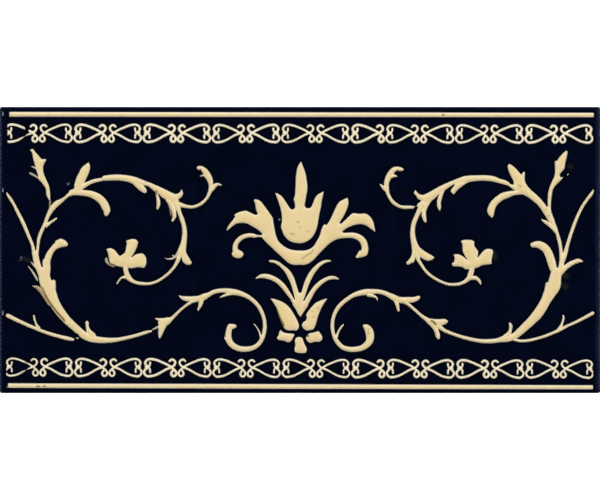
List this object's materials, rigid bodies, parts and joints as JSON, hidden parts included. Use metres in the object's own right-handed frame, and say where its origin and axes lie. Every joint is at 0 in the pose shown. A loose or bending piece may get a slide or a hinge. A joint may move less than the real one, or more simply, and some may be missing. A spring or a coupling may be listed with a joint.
{
  "type": "border tile",
  "caption": "Oblong glazed wall border tile with raised palmette and leafy scrolls between chain bands and plain fillets, grooved back.",
  "frame": {"origin": "middle of the underside, on the plane the tile is bedded on", "axes": "+X along the length of the course, to the right with the palmette upright; +Y across the tile, towards the palmette's point; +Z out of the glazed face"},
  "size_m": [0.2, 0.0952, 0.0089],
  "materials": {
    "glazed_ceramic": "glossy blue-black glaze on the face with the raised ornament in satin cream glaze, bare buff clay on the back and edges"
  },
  "bodies": {
    "root": {"border_tile": "glazed_ceramic"}
  },
  "joints": []
}
